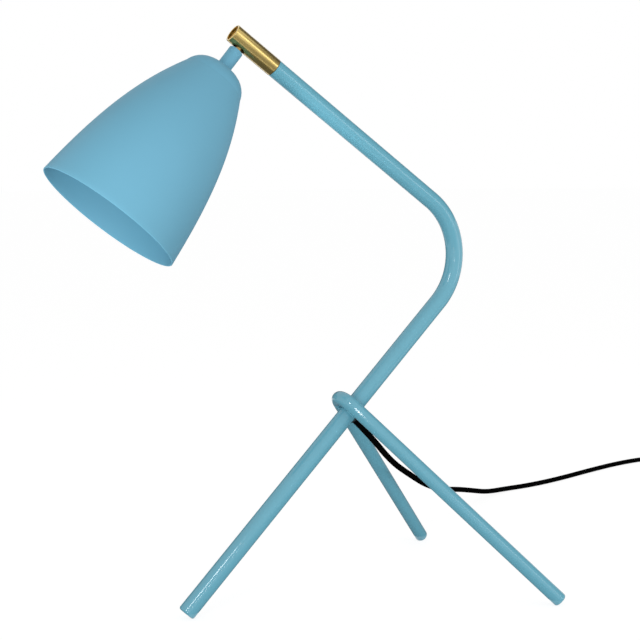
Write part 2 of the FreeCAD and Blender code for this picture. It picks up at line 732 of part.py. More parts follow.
def holder_terminals():
    """Insulating block that closes the well and carries the contacts."""
    start, end = HOLDER_START + HOLDER_CAP - TERMINAL_OVERLAP, BULB_START - BULB_SEAT
    bore = holder_spigot()[1]
    return in_head(Part.makeCylinder(bore - PRESSED, end - start, UP * start))


def holder_contacts():
    """The well's screw shell and the sprung tongue under the bulb's tip."""
    outer = BULB_CAP_OD / 2 + BULB_CAP_PLAY - PRESSED
    shell = ring(outer, outer - SCREW_SHELL, BULB_START + 1, HOLDER_MOUTH - HOLDER_RING)
    low, high = BULB_START - BULB_SEAT + PRESSED, BULB_START - PRESSED
    post = Part.makeCylinder(TONGUE_WIDTH * 0.375, high - low, UP * low)
    reach = BULB_CAP_OD / 2 - HOLDER_LIP
    blade = Part.makeBox(2 * reach, TONGUE_WIDTH, TONGUE_THICK,
                         V(-reach, -TONGUE_WIDTH / 2, high - TONGUE_THICK))
    return in_head(Part.makeCompound([shell, post.fuse(blade)]))


BULB_CAP_START = BULB_START + 3.0
BULB_CAP_END = BULB_CAP_START + BULB_CAP_LENGTH
BULB_CAP_IN = BULB_CAP_OD / 2 - 1.5    # radius of the cap's end, where the insulator sits


def bulb_cap():
    outer, start, end = BULB_CAP_OD / 2, BULB_CAP_START, BULB_CAP_END
    inner = outer - BULB_CAP_WALL
    return in_head(turned((BULB_CAP_IN, start), (outer - 0.5, start), (outer, start + 1.5),
                          (outer, end), (inner, end), (inner, start + 2),
                          (BULB_CAP_IN, start + 1)))


def bulb_contact():
    """Insulator and centre contact at the bulb's end."""
    wide, start = BULB_CAP_IN - PRESSED, BULB_START
    return in_head(turned((0, start), (1.8, start), (2.4, start + 0.8), (3.2, start + 1.2),
                          (wide, start + 2.8), (wide, start + 4.5), (0, start + 4.5)))


def bulb_filled(inset):
    """The glass as a solid: neck in the cap, throat, flare and round end."""
    radius = BULB_OD / 2 - inset
    centre = V(0, 0, BULB_START + BULB_LENGTH - BULB_OD / 2)
    tip = centre + UP * radius
    neck = BULB_CAP_OD / 2 - BULB_CAP_WALL - PRESSED - inset
    start, cap_end = V(neck, 0, BULB_CAP_END - NECK_IN_CAP), V(neck, 0, BULB_CAP_END)
    throat = V(BULB_NECK_OD / 2 - inset, 0, HOLDER_MOUTH + BULB_THROAT)
    lean = V(math.sin(deg(BULB_FLARE)), 0, math.cos(deg(BULB_FLARE)))
    meet = centre + V(lean.z, 0, -lean.x) * radius
    flare = Part.BezierCurve()
    flare.setPoles([throat, throat + UP * BULB_THROAT, meet - lean * 5, meet])
    side = centre + V(math.cos(deg(30)), 0, math.sin(deg(30))) * radius
    low = V(0, 0, start.z)
    return revolved([line(start, cap_end), line(cap_end, throat), flare.toShape(),
                     arc(meet, side, tip), line(tip, low), line(low, start)])


def bulb_glass():
    """Opal glass, open at the neck where the cap closes it."""
    return in_head(bulb_filled(0).cut(bulb_filled(BULB_GLASS)))


def head_wires():
    """The flex's two cores, through the neck to the terminals."""
    start, end = NECK_START + WIRE_OD, HOLDER_START + HOLDER_CAP - TERMINAL_OVERLAP
    cores = [Part.makeCylinder(WIRE_OD / 2, end - start, V(0, side * WIRE_SPACING / 2, start))
             for side in (-1, 1)]
    return in_head(Part.makeCompound(cores))


# ---- In-line switch ------------------------------------------------------------------------
# Own axes: X along the cord, Z up, with the origin on the table under its middle.
SWITCH_MIDDLE = (SWITCH_IN + SWITCH_OUT) * 0.5
SWITCH_MIDDLE = V(SWITCH_MIDDLE.x, SWITCH_MIDDLE.y, 0)
SWITCH_TOP = SWITCH_BASE + SWITCH_COVER
ROCKER_Z = SWITCH_TOP - ROCKER_DOWN


def in_switch(shape):
    return placed(shape, SWITCH_MIDDLE, UP, SWITCH_DIR)


def switch_block(low, high, inset=0.0):
    """The housing's rounded outline between two heights."""
    length, width = SWITCH_LENGTH - 2 * inset, SWITCH_WIDTH - 2 * inset
    body = Part.makeBox(length, width, high - low, V(-length / 2, -width / 2, low))
    return rounded(body, SWITCH_ROUND - inset, lambda e: abs(e.tangentAt(0).z) > 0.99)


def cord_entries():
    """The two round holes on the parting line, one at each end."""
    radius = CORD_R + PRESSED
    return [Part.makeCylinder(radius, CORD_IN_SWITCH + 1,
                              V(side * SWITCH_LENGTH / 2, 0, SWITCH_Z), RIGHT * -side)
            for side in (-1, 1)]


def switch_screw_places():
    return [V(side * SWITCH_SCREW_SPACING / 2, 0, 0) for side in (-1, 1)]


def rocker_room(width, low, high, beyond=ROCKER_ROOM):
    """A box round the rocker, centred on it."""
    length = ROCKER_LENGTH + 2 * beyond
    return Part.makeBox(length, width, high - low, V(-length / 2, -width / 2, low))


def switch_base():
    body = switch_block(0, SWITCH_BASE)
    body = rounded(body, SWITCH_FOOT_ROUND, lambda e: max(v.Z for v in e.Vertexes) < 1e-6)
    well = switch_block(SWITCH_WALL, SWITCH_BASE, SWITCH_WALL)
    body = body.cut(well.common(rocker_room(SWITCH_WIDTH, 0, SWITCH_BASE)))
    for place in switch_screw_places():
        body = body.cut(Part.makeCylinder(SWITCH_SCREW_OD / 2 + PRESSED, SWITCH_BASE, place))
        body = body.cut(Part.makeCylinder(SWITCH_SCREW_OD + PRESSED, SWITCH_SCREW_HEAD, place))
    return in_switch(body.cut(cord_entries()))


def switch_cover():
    body = switch_block(SWITCH_BASE, SWITCH_TOP)
    body = rounded(body, SWITCH_TOP_ROUND,
                   lambda e: min(v.Z for v in e.Vertexes) > SWITCH_TOP - 1e-6)
    wide = ROCKER_WIDTH + 2 * CLEAR
    well = rocker_room(wide, SWITCH_BASE, SWITCH_TOP - SWITCH_WALL)
    window = rocker_room(wide, SWITCH_BASE, SWITCH_TOP, WINDOW_GAP)
    pin_hole = Part.makeCylinder(ROCKER_PIN_OD / 2 + RUNNING, wide + 4,
                                 V(0, -wide / 2 - 2, ROCKER_Z), SIDE)
    body = body.cut([well, window, pin_hole] + cord_entries())
    for place in switch_screw_places():
        body = body.cut(Part.makeCylinder(SWITCH_SCREW_OD / 2 + PRESSED, SWITCH_SCREW_DEPTH,
                                          place + UP * SWITCH_BASE))
    return in_switch(body)


def switch_screws():
    """Two countersunk-deep pan heads from below."""
    screws = []
    for place in switch_screw_places():
        low, slot = SWITCH_SCREW_HEAD / 4, SWITCH_SCREW_HEAD * 0.4
        head = Part.makeCylinder(SWITCH_SCREW_OD, SWITCH_SCREW_HEAD - low, place + UP * low)
        shank = Part.makeCylinder(SWITCH_SCREW_OD / 2, SWITCH_BASE + SWITCH_SCREW_DEPTH / 2,
                                  place + UP * SWITCH_SCREW_HEAD)
        drive = Part.makeBox(2 * SWITCH_SCREW_OD, slot, slot,
                             place + V(-SWITCH_SCREW_OD, -slot / 2, low))
        screws.append(head.fuse(shank).cut(drive).removeSplitter())
    return in_switch(Part.makeCompound(screws))


def switch_rocker():
    """Rocker with a dished top and two pivot stubs, resting with its outer end up."""
    half, low_half = ROCKER_LENGTH / 2, ROCKER_LENGTH / 3
    left, right = V(-half, 0, ROCKER_RISE), V(half, 0, ROCKER_RISE)
    top = arc(left, UP * (ROCKER_RISE - ROCKER_DISH), right)
    low_right, low_left = V(low_half, 0, -1), V(-low_half, 0, -1)
    bottom = arc(low_right, -UP * ROCKER_DEPTH, low_left)
    edges = [top, line(right, low_right), bottom, line(low_left, left)]
    body = Part.Face(Part.Wire(edges)).extrude(SIDE * ROCKER_WIDTH)
    body.translate(-SIDE * (ROCKER_WIDTH / 2))
    stubs = ROCKER_WIDTH + 2 * ROCKER_PIN_REACH
    pin = Part.makeCylinder(ROCKER_PIN_OD / 2, stubs, -SIDE * (stubs / 2), SIDE)
    body = body.fuse(pin).removeSplitter()
    body.rotate(V(), SIDE, -ROCKER_SWING)
    body.translate(UP * ROCKER_Z)
    return in_switch(body)


# ---- Coil, tie and plug ----------------------------------------------------------------------
def coil_point(turn):
    """Centreline of the coil after that many turns: in on the table, out on top of itself."""
    radius = COIL_INNER + COIL_PITCH * abs(turn - COIL_TURNS)
    climb = min(max((turn - COIL_TURNS + 0.25) / 0.5, 0), 1)
    smooth = climb * climb * (3 - 2 * climb)
    angle = -2 * math.pi * turn
    out = COIL_SIDE * (-math.cos(angle)) - SWITCH_DIR * math.sin(angle)
    p = COIL_CENTRE + out * radius
    return V(p.x, p.y, COIL_Z + COIL_PITCH * smooth)


def coil_heading(turn):
    step = 0.002
    low, high = max(turn - step, 0), min(turn + step, 2 * COIL_TURNS)
    return (coil_point(high) - coil_point(low)).normalize()


def biarc(p0, t0, p1, t1):
    """Two arcs that leave p0 along t0, meet smoothly and reach p1 along t1."""
    v, t = p1 - p0, t0 + t1
    bend = 2 * (1 - t0.dot(t1))
    d = (-v.dot(t) + math.sqrt(v.dot(t) ** 2 + bend * v.dot(v))) / bend
    q0, q1 = p0 + t0 * d, p1 - t1 * d
    joint = (q0 + q1) * 0.5
    return [turn_arc(q0, p0, joint), turn_arc(q1, joint, p1)]


def coil_wire():
    count = 8 * COIL_TURNS
    turns = [2 * COIL_TURNS * k / count for k in range(count + 1)]
    places = [coil_point(t) for t in turns]
    heads = [coil_heading(t) for t in turns]
    heads[0] = heads[-1] = V(SWITCH_DIR)
    edges = [line(places[0] - heads[0] * CORD_OD, places[0])]
    for k in range(count):
        edges += biarc(places[k], heads[k], places[k + 1], heads[k + 1])
    edges.append(line(places[-1], places[-1] + heads[-1] * CORD_OD))
    return Part.Wire(edges)


def least_gap(wire):
    """The coil's least gap to itself, on points a fifth of a diameter apart."""
    points = wire.discretize(Distance=CORD_OD / 5)
    apart = 12
    least = min((points[i] - points[j]).Length
                for i in range(len(points)) for j in range(i + apart, len(points)))
    return least - CORD_OD


def cord_coil():
    wire = coil_wire()
    radii = [e.Curve.Radius for e in wire.Edges if isinstance(e.Curve, Part.Circle)]
    print("cord_coil length", round(wire.Length, 1), "least radius", round(min(radii), 1),
          "least gap to itself", round(least_gap(wire), 2))
    return swept(wire, CORD_R)


def tie_block(grow, round_by):
    """A rounded bar across the turns, as wide as the tie, that clears them by grow."""
    low_r, high_r = COIL_INNER - CORD_R - TIE_PLAY - grow, COIL_OUTER + CORD_R + TIE_PLAY + grow
    low_z, high_z = COIL_Z - CORD_R - grow, COIL_LAYER + CORD_R + TIE_PLAY + grow
    body = Part.makeBox(high_r - low_r, TIE_WIDTH, high_z - low_z,
                        V(low_r, -TIE_WIDTH / 2, low_z))
    return rounded(body, round_by, lambda e: abs(e.tangentAt(0).y) > 0.99)


def coil_tie():
    """A flat band round all the turns, across the coil from where the cord comes in."""
    wall = TIE_THICK - PRESSED
    band = tie_block(wall, TIE_ROUND).cut(tie_block(0, TIE_ROUND - wall))
    return placed(band, V(COIL_CENTRE.x, COIL_CENTRE.y, 0), UP, COIL_SIDE)


def in_plug(shape):
    """Own axes: X from the cord to the pins, origin where the strain relief starts."""
    return placed(shape, RELIEF_START, UP, PLUG_DIR)


def plug_outline():
    """The flat plug from above: a narrow tail that widens to the pins' face."""
    tail, width = PLUG_TAIL / 2, PLUG_WIDTH / 2
    start, end = RELIEF_LENGTH, RELIEF_LENGTH + PLUG_LENGTH
    wide_from = end - PLUG_GRIP
    low = -PLUG_HEIGHT / 2
    return [V(start, -tail, low), V(wide_from, -width, low), V(end, -width, low),
            V(end, width, low), V(wide_from, width, low), V(start, tail, low)]


def lies_level(edge):
    return len({round(v.Z, 4) for v in edge.Vertexes}) == 1


def plug_body():
    corners = plug_outline()
    body = Part.Face(Part.makePolygon(corners + corners[:1])).extrude(UP * PLUG_HEIGHT)
    body = rounded(body, PLUG_CORNER, lambda e: abs(e.tangentAt(0).z) > 0.99)
    body = rounded(body, PLUG_EDGE, lies_level)
    thin, thick = CORD_R + RELIEF_WALL, PLUG_TAIL / 2 - PLUG_EDGE
    relief = Part.makeCone(thin, thick, RELIEF_LENGTH + 2, V(), RIGHT)
    body = body.fuse(relief).removeSplitter()
    for k in range(RELIEF_SLOTS):
        body = body.cut(relief_slot(RELIEF_LENGTH * (k + 1) / (RELIEF_SLOTS + 1) - RELIEF_SLOT / 2))
    bore = Part.makeCylinder(CORD_R + PRESSED, CORD_OD, V(), RIGHT)
    return in_plug(body.cut([bore] + plug_pin_solids(PRESSED)))


def relief_slot(x):
    """One of the slots that let the strain relief bend."""
    outer = Part.makeCylinder(PLUG_TAIL, RELIEF_SLOT, V(x, 0, 0), RIGHT)
    return outer.cut(Part.makeCylinder(CORD_R + RELIEF_WALL, RELIEF_SLOT, V(x, 0, 0), RIGHT))


def plug_pin_solids(grow=0.0):
    """The two pins, or with grow the holes that they are moulded in."""
    pins = []
    face = RELIEF_LENGTH + PLUG_LENGTH
    for side in (-1, 1):
        start = V(face - PLUG_PIN_SET, side * PLUG_PIN_SPACING / 2, 0)
        pin = Part.makeCylinder(PLUG_PIN_OD / 2 + grow, PLUG_PIN_SET + PLUG_PIN_LENGTH, start, RIGHT)
        if not grow:
            pin = rounded(pin, PLUG_PIN_ROUND, lambda e: min(v.X for v in e.Vertexes) > face + 1)
        pins.append(pin)
    return pins


def plug_pins():
    return in_plug(Part.makeCompound(plug_pin_solids()))


def cord_tail():
    """Last stretch, which ends one diameter inside the plug's strain relief."""
    end = RELIEF_START + PLUG_DIR * (CORD_OD - CLEAR)
    return cord_tube(CORD_TAIL[:-1] + [end], "cord_tail")


# ---- Write the parts -----------------------------------------------------------------------
PARTS = {
    "main_tube": main_tube,
    "leg_hairpin": leg_hairpin,
    "weld_beads": weld_beads,
    "foot_plug_front": lambda: foot_plug(AT["foot"], LEG_DIR, TUBE_R, BORE_R),
    "foot_plug_near": lambda: rear_plug(-1),
    "foot_plug_far": lambda: rear_plug(1),
    "cable_grommet": cable_grommet,
    "inner_flex": inner_flex,
    "arm_spigot": arm_spigot,
    "brass_sleeve": brass_sleeve,
    "sleeve_screw": sleeve_screw,
    "saddle_inner": saddle_inner,
    "saddle_outer": saddle_outer,
    "retaining_ring": retaining_ring,
    "swivel_ball": swivel_ball,
    "threaded_neck": threaded_neck,
    "shade_stem": shade_stem,
    "shade": shade,
    "shade_washer": shade_washer,
    "shade_nut": shade_nut,
    "holder_cap": holder_cap,
    "holder_body": holder_body,
    "holder_terminals": holder_terminals,
    "holder_contacts": holder_contacts,
    "bulb_cap": bulb_cap,
    "bulb_contact": bulb_contact,
    "bulb_glass": bulb_glass,
    "head_wires": head_wires,
    "cord_free": lambda: cord_tube(CORD_FREE, "cord_free"),
    "switch_base": switch_base,
    "switch_cover": switch_cover,
    "switch_screws": switch_screws,
    "switch_rocker": switch_rocker,
    "cord_mid": lambda: cord_tube(CORD_MID, "cord_mid"),
    "cord_coil": cord_coil,
    "coil_tie": coil_tie,
    "cord_tail": cord_tail,
    "plug_body": plug_body,
    "plug_pins": plug_pins,
}

os.makedirs("parts", exist_ok=True)
for name, make in PARTS.items():
    solid = make()
    solid.exportStep("parts/" + name + ".step")
    if not solid.isValid():
        print(name, "is not valid")

for name in ("pivot", "rear_foot", "foot", "arm_end", "bend_centre", "crossing", "exit"):
    print(name, [round(c, 4) for c in AT[name]])
print("rocker axis through", in_switch(Part.Vertex(0, 0, ROCKER_Z)).Point, "along",
      UP.cross(SWITCH_DIR))
print("coil centre", COIL_CENTRE, "cord exit", CORD_EXIT)
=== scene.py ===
import json
import math

import bpy
from mathutils import Matrix, Vector


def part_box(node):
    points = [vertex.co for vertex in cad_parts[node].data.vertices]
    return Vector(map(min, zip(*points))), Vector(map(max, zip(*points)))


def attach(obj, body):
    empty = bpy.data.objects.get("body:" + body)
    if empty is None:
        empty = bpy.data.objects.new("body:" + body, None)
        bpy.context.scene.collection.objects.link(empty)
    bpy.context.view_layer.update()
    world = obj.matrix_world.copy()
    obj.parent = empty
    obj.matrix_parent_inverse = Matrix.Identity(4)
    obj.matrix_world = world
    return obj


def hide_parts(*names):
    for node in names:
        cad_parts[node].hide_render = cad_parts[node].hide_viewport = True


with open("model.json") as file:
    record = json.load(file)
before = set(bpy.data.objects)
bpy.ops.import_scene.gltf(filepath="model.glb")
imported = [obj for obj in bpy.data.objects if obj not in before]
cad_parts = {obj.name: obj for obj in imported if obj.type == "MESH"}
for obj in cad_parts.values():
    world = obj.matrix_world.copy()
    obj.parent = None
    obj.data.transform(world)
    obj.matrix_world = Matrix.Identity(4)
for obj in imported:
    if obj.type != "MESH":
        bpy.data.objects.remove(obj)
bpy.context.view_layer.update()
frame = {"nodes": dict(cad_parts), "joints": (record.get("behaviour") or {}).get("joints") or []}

# Tripod table lamp on a white studio floor. Metres, +Z up, the bent tube in the plane y = 0.

X = Vector((1, 0, 0))
Y = Vector((0, 1, 0))
Z = Vector((0, 0, 1))


def deg(angle):
    return math.radians(angle)


def joint(name):
    return next(j for j in frame["joints"] if j["name"] == name)


# ---- Sizes and places --------------------------------------------------------------------
# Bent tube: front leg, bend and arm
TUBE_R = 0.008
TUBE_WALL = 0.0015
LEG_SLOPE = deg(45.7)
LEG_LENGTH = 0.365
BEND_RADIUS = 0.063
ARM_SLOPE = deg(35.7)
ARM_LENGTH = 0.1965

# Hairpin: two rear legs and the loop that crosses the front leg
HAIRPIN_R = 0.0065
HAIRPIN_BEND = 0.01465
CROSSING = 0.2332
HAIRPIN_SLOPE = deg(48.1)
HAIRPIN_SPLAY = deg(24.6)

# End plugs. The face is the share of the radius that the first ring takes.
PLUG_HEAD = 0.003
PLUG_SHANK = 0.012
PLUG_ROUND = 0.0022
PLUG_FACE = 0.3
FOOT_FLAT = 0.001

# Brass sleeve, measured from the ball's middle. SLEEVE_GAP parts it from the bent tube's end.
SLEEVE_R = 0.0082
SLEEVE_BORE = 0.0068
SLEEVE_LENGTH = 0.0477
PIVOT_FROM_END = 0.012
SLEEVE_EDGE = 0.0005
SLEEVE_GAP = 0.0003
MOUTH_EDGE = 0.0002
SLOT_R = 0.0039
SLOT_TRAVEL = SLEEVE_R * math.tan(deg(14.5))
SCREW_R = 0.00155
SCREW_FROM_PIVOT = 0.0269
SOCKET_R = 0.00087
SOCKET_DEPTH = 0.0012

# Stem and shade, down the head's own axis
HEAD_DROP = deg(50.4)
STEM_R = 0.0064
STEM_BORE = 0.00355
STEM_START = 0.0101
STEM_ROUND = 0.0008
SHADE_TOP = 0.0303
SHADE_HEIGHT = 0.161
SHADE_RIM_R = 0.06475
SHADE_WALL = 0.001
SHADE_HOLE = 0.0037
RIM_LEAN = deg(5.1)
RIM_PULL = 0.0639
TOP_LEAN = deg(27.6)
TOP_PULL = 0.047
SHOULDER_R = 0.0278
SHOULDER_H = 0.1478
SHOULDER_ROUND = 0.007
LAND_R = 0.010

# Cord, switch, coil and plug. The coil climbs to its upper layer in COIL_CLIMB of a turn.
CORD_R = 0.0029
CORD_HOLE = 0.2286
GROMMET_LIP = 0.0005
EXIT_RUN = 0.024
CORD_Z = 0.00295
SWITCH_Z = 0.0075
SWITCH_LENGTH = 0.046
COIL_LEAD = 0.052
COIL_OUTER = 0.037
COIL_TURNS = 2
COIL_PITCH = 0.0064
COIL_CLIMB = 0.5
COIL_STEPS = 16
COIL_Z = CORD_Z + 0.0009
COIL_LAYER = COIL_Z + COIL_PITCH
PLUG_Z = 0.00685
BARE_TIP = 0.009

# Directions and points that the pieces share
PIVOT = Vector(joint("shade_tilt")["pos_m"])
LEG_DIR = Vector((math.cos(LEG_SLOPE), 0, math.sin(LEG_SLOPE)))
ARM_DIR = Vector((-math.cos(ARM_SLOPE), 0, math.sin(ARM_SLOPE)))
EXIT_DIR = Vector((math.sin(LEG_SLOPE), 0, -math.cos(LEG_SLOPE)))
BEND_OUT = Vector((math.sin(ARM_SLOPE), 0, math.cos(ARM_SLOPE)))
SLOT_DIR = -BEND_OUT
HEAD_DIR = Vector((-math.cos(HEAD_DROP), 0, -math.sin(HEAD_DROP)))
HAIRPIN_DIR = Vector((math.cos(HAIRPIN_SLOPE), 0, -math.sin(HAIRPIN_SLOPE)))

ARM_END = PIVOT - ARM_DIR * (SLEEVE_LENGTH - PIVOT_FROM_END)
BEND_END = ARM_END - ARM_DIR * ARM_LENGTH
BEND_CENTRE = BEND_END - BEND_OUT * BEND_RADIUS
BEND_START = BEND_CENTRE + EXIT_DIR * BEND_RADIUS
FRONT_FOOT = BEND_START - LEG_DIR * LEG_LENGTH
CROSS = FRONT_FOOT + LEG_DIR * CROSSING


def leg_dir(side):
    """Down one of the hairpin's legs: side is -1 for the near one and 1 for the far one."""
    return HAIRPIN_DIR * math.cos(HAIRPIN_SPLAY) + Y * (side * math.sin(HAIRPIN_SPLAY))


def rear_foot(side):
    """Middle of a rear leg's end face, which stands a little below the floor before it is cut flat."""
    start = CROSS + Y * (side * HAIRPIN_BEND / math.cos(HAIRPIN_SPLAY))
    top = HAIRPIN_R * math.sqrt(1 - leg_dir(side).z ** 2)
    reach = (start.z - top + FOOT_FLAT) / -leg_dir(side).z
    return start + leg_dir(side) * reach


# ---- Modelling helpers -------------------------------------------------------------------
SHORT_RUN = 0.001
SAME_POINT = 1e-7
LOOSE_CORNER = 1e-6


def deselect():
    bpy.ops.object.select_all(action="DESELECT")


def new_ring(name, radius, centre, axis, sides):
    """A bare circle round an axis, left in edit mode with all of it selected."""
    deselect()
    turn = axis.to_track_quat("Z", "Y").to_euler()
    bpy.ops.mesh.primitive_circle_add(vertices=sides, radius=radius, location=centre, rotation=turn)
    ring = bpy.context.object
    ring.name = ring.data.name = name
    bpy.ops.object.mode_set(mode="EDIT")
    bpy.ops.mesh.select_all(action="SELECT")
    return ring


def pull(offset):
    bpy.ops.mesh.extrude_region_move(TRANSFORM_OT_translate={"value": offset})


def pull_run(offset):
    """A straight run with a short ring at each end, so that the bends' shading stays in the bends."""
    short = offset.normalized() * SHORT_RUN
    for part in (short, offset - 2 * short, short):
        pull(part)


def turn_about(centre, axis, angle, steps):
    """Spins the selection on, right-handed about the axis: the operator's own turn is the other way."""
    bpy.ops.mesh.spin(steps=steps, angle=angle, center=centre, axis=-axis)


def settle(piece):
    """Out of edit mode, with the piece's place in its mesh."""
    if bpy.context.object and bpy.context.object.mode == "EDIT":
        bpy.ops.object.mode_set(mode="OBJECT")
    deselect()
    piece.select_set(True)
    bpy.context.view_layer.objects.active = piece
    bpy.ops.object.transform_apply(location=True, rotation=True, scale=True)


def outward(piece):
    """Doubles merged and every face turned outwards."""
    settle(piece)
    bpy.ops.object.mode_set(mode="EDIT")
    bpy.ops.mesh.select_all(action="SELECT")
    bpy.ops.mesh.remove_doubles(threshold=SAME_POINT)
    bpy.ops.mesh.normals_make_consistent(inside=False)
    bpy.ops.object.mode_set(mode="OBJECT")


def modify(piece, kind, **settings):
    """Adds a modifier with its settings and applies it."""
    settle(piece)
    change = piece.modifiers.new(kind.title(), kind)
    for key, value in settings.items():
        setattr(change, key, value)
    bpy.ops.object.modifier_apply(modifier=change.name)


def cut(piece, tool):
    """The piece less the tool, which is deleted."""
    outward(tool)
    modify(piece, "BOOLEAN", object=tool, operation="DIFFERENCE", solver="EXACT")
    bpy.data.objects.remove(tool)


def cutter(sides, radius, depth, centre, turn):
    """A bar of many sides or few, to be cut out of a piece."""
    deselect()
    bpy.ops.mesh.primitive_cylinder_add(vertices=sides, radius=radius, depth=depth,
                                        location=centre, rotation=turn)
    return bpy.context.object


def smooth(piece, angle=30):
    settle(piece)
    bpy.ops.object.shade_smooth_by_angle(angle=deg(angle))


def place(piece, origin, z_axis, x_axis):
    """Moves a piece from its own axes to origin, with Z along z_axis and X along x_axis."""
    settle(piece)
    turn = Matrix((x_axis, z_axis.cross(x_axis), z_axis)).transposed().to_4x4()
    piece.matrix_world = Matrix.Translation(origin) @ turn
    settle(piece)


def lathe(name, outline, sides=96, closed=True):
    """Turned piece about Z: a ring pulled and scaled through the outline's (radius, height).

    A closed outline comes back to its start, as a wall does. An open one is capped at both ends.
    """
    radius, height = outline[0]
    piece = new_ring(name, radius, Vector((0, 0, height)), Z, sides)
    for next_radius, next_height in outline[1:]:
        pull(Vector((0, 0, next_height - height)))
        scale = next_radius / radius
        bpy.ops.transform.resize(value=(scale, scale, 1), center_override=(0, 0, next_height))
        radius, height = next_radius, next_height
    bpy.ops.mesh.select_all(action="DESELECT")
    bpy.ops.mesh.select_mode(type="EDGE")
    bpy.ops.mesh.select_non_manifold(extend=False)
    if closed:
        bpy.ops.mesh.bridge_edge_loops()
    else:
        bpy.ops.mesh.edge_face_add()
    bpy.ops.mesh.select_mode(type="VERT")
    outward(piece)
    return piece


def round_off(centre, radius, start, end, steps):
    """Points (radius, height) of an arc about centre, from start to end in degrees."""
    return [(centre[0] + radius * math.cos(deg(start + (end - start) * k / steps)),
             centre[1] + radius * math.sin(deg(start + (end - start) * k / steps)))
            for k in range(steps + 1)]


def bezier(poles, steps):
    """Points on a curve of four poles, each (radius, height)."""
    points = []
    for k in range(steps + 1):
        t = k / steps
        weights = ((1 - t) ** 3, 3 * t * (1 - t) ** 2, 3 * t ** 2 * (1 - t), t ** 3)
        points.append(tuple(sum(w * p[i] for w, p in zip(weights, poles)) for i in (0, 1)))
    return points


def from_frame(name, angle=30):
    """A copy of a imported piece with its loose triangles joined, to be shaded smooth."""
    deselect()
    source = frame["nodes"][name]
    piece = bpy.data.objects.new(name + "_skin", source.data.copy())
    bpy.context.scene.collection.objects.link(piece)
    piece.data.materials.clear()
    settle(piece)
    bpy.ops.object.mode_set(mode="EDIT")
    bpy.ops.mesh.select_all(action="SELECT")
    bpy.ops.mesh.remove_doubles(threshold=LOOSE_CORNER)
    bpy.ops.object.mode_set(mode="OBJECT")
    smooth(piece, angle)
    return piece


def finished(piece, body, slot, material, *nodes):
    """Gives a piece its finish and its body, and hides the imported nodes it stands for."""
    piece.data.materials.clear()
    piece.data.materials.append(material)
    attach(piece, body)
    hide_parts(*nodes)
    return piece


def dressed(node, body, slot, material, angle=30):
    """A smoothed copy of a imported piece, in its finish."""
    return finished(from_frame(node, angle), body, slot, material, node)


# ---- Finishes ----------------------------------------------------------------------------
class Value:
    """A shader socket that can be added and multiplied: each sum adds a Math node."""

    def __init__(self, nodes, socket):
        self.nodes = nodes
        self.socket = socket

    def maths(self, operation, first, second):
        return self.nodes.node("ShaderNodeMath", {"operation": operation}, {0: first, 1: second})

    def __add__(self, other):
        return self.maths("ADD", self, other)

    def __radd__(self, other):
        return self.maths("ADD", other, self)

    def __mul__(self, other):
        return self.maths("MULTIPLY", self, other)

    def __rmul__(self, other):
        return self.maths("MULTIPLY", other, self)


class Nodes:
    """The node tree of a material or of the world."""

    def __init__(self, tree):
        self.tree = tree

    def node(self, kind, settings, inputs, output=0):
        """Adds a node: its settings first, then the values or links of its sockets."""
        made = self.tree.nodes.new(kind)
        for key, value in settings.items():
            setattr(made, key, value)
        for key, value in inputs.items():
            if isinstance(value, Value):
                self.tree.links.new(value.socket, made.inputs[key])
            else:
                made.inputs[key].default_value = value
        return Value(self, made.outputs[output])

    def seen_by(self, *rays):
        """1 for these kinds of ray and 0 for all others."""
        mask = self.node("ShaderNodeLightPath", {}, {}, rays[0])
        for ray in rays[1:]:
            also = self.node("ShaderNodeLightPath", {}, {}, ray)
            mask = self.node("ShaderNodeMath", {"operation": "MAXIMUM"}, {0: mask, 1: also})
        return mask

    def show(self, plain, white):
        """Ends the tree in a plain shader, but in a white one to the eye, to gloss and to glass."""
        mask = self.seen_by("Is Camera Ray", "Is Glossy Ray", "Is Transmission Ray")
        mixed = self.node("ShaderNodeMixShader", {}, {0: mask, 1: plain, 2: white})
        output = next(n for n in self.tree.nodes if n.bl_idname.startswith("ShaderNodeOutput"))
        self.tree.links.new(mixed.socket, output.inputs["Surface"])


class Finish(Nodes):
    """A material under construction."""

    def __init__(self, name):
        self.material = bpy.data.materials.new(name)
        self.material.use_nodes = True
        super().__init__(self.material.node_tree)
        self.shader = self.tree.nodes["Principled BSDF"]

    def where(self, scale=(1, 1, 1), turn=(0, 0, 0)):
        """Object coordinates, stretched or turned."""
        spot = self.node("ShaderNodeTexCoord", {}, {}, "Object")
        return self.node("ShaderNodeMapping", {}, {"Vector": spot, "Rotation": turn, "Scale": scale})

    def noise(self, scale, detail=2.0, where=None):
        where = where or self.where()
        return self.node("ShaderNodeTexNoise", {}, {"Vector": where, "Scale": scale, "Detail": detail})

    def between(self, mask, low, high):
        """A colour between two, by a mask from 0 to 1."""
        settings = {"data_type": "RGBA", "clamp_factor": True}
        return self.node("ShaderNodeMix", settings, {0: mask, 6: (*low, 1), 7: (*high, 1)}, 2)

    def relief(self, height, depth, strength):
        inputs = {"Height": height, "Distance": depth, "Strength": strength}
        self.give(Normal=self.node("ShaderNodeBump", {}, inputs))

    def give(self, **sockets):
        """Sets the shader's sockets, named with underscores for spaces."""
        for key, value in sockets.items():
            socket = self.shader.inputs[key.replace("_", " ")]
            if isinstance(value, Value):
                self.tree.links.new(value.socket, socket)
            else:
                socket.default_value = value
        return self.material


# Paint on the tubes and on the shade, each between a deep and a full blue
PAINT_BLUE = (0.144, 0.404, 0.516)
PAINT_DEEP = (0.132, 0.390, 0.496)
SHADE_BLUE = (0.146, 0.382, 0.522)
SHADE_DEEP = (0.134, 0.368, 0.500)


